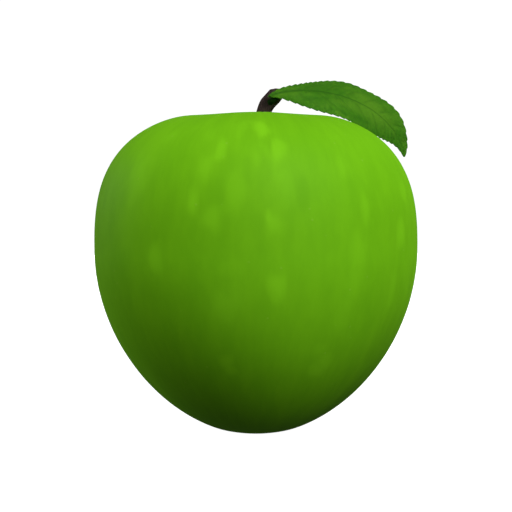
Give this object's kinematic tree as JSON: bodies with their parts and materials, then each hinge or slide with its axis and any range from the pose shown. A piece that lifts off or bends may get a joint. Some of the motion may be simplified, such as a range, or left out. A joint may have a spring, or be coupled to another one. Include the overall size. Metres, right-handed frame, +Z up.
{
  "type": "apple",
  "caption": "Whole green apple with a short woody stem and one saw-edged leaf that leans over its shoulder; stands upright on the rim of its base.",
  "frame": {"origin": "on the surface that the apple stands on, under the middle of the fruit", "axes": "+Z up along the core, from the base to the stem; +X to the side that the leaf leans to; the front faces -Y"},
  "size_m": [0.078, 0.078, 0.0854],
  "materials": {
    "green_skin": "smooth waxy apple skin, satin, bright yellow-green with soft lighter blotches and faint streaks from stem to base",
    "brown_wood": "dark purple-brown woody stem, matt, ribbed along its length",
    "leaf_green": "fresh leaf, satin, mid green with a darker midrib and fine side veins, paler below",
    "dried_calyx": "dry brown sepals and stamens, matt"
  },
  "bodies": {
    "root": {"fruit": "green_skin", "stem": "brown_wood", "leaf": "leaf_green", "calyx": "dried_calyx"}
  },
  "joints": []
}
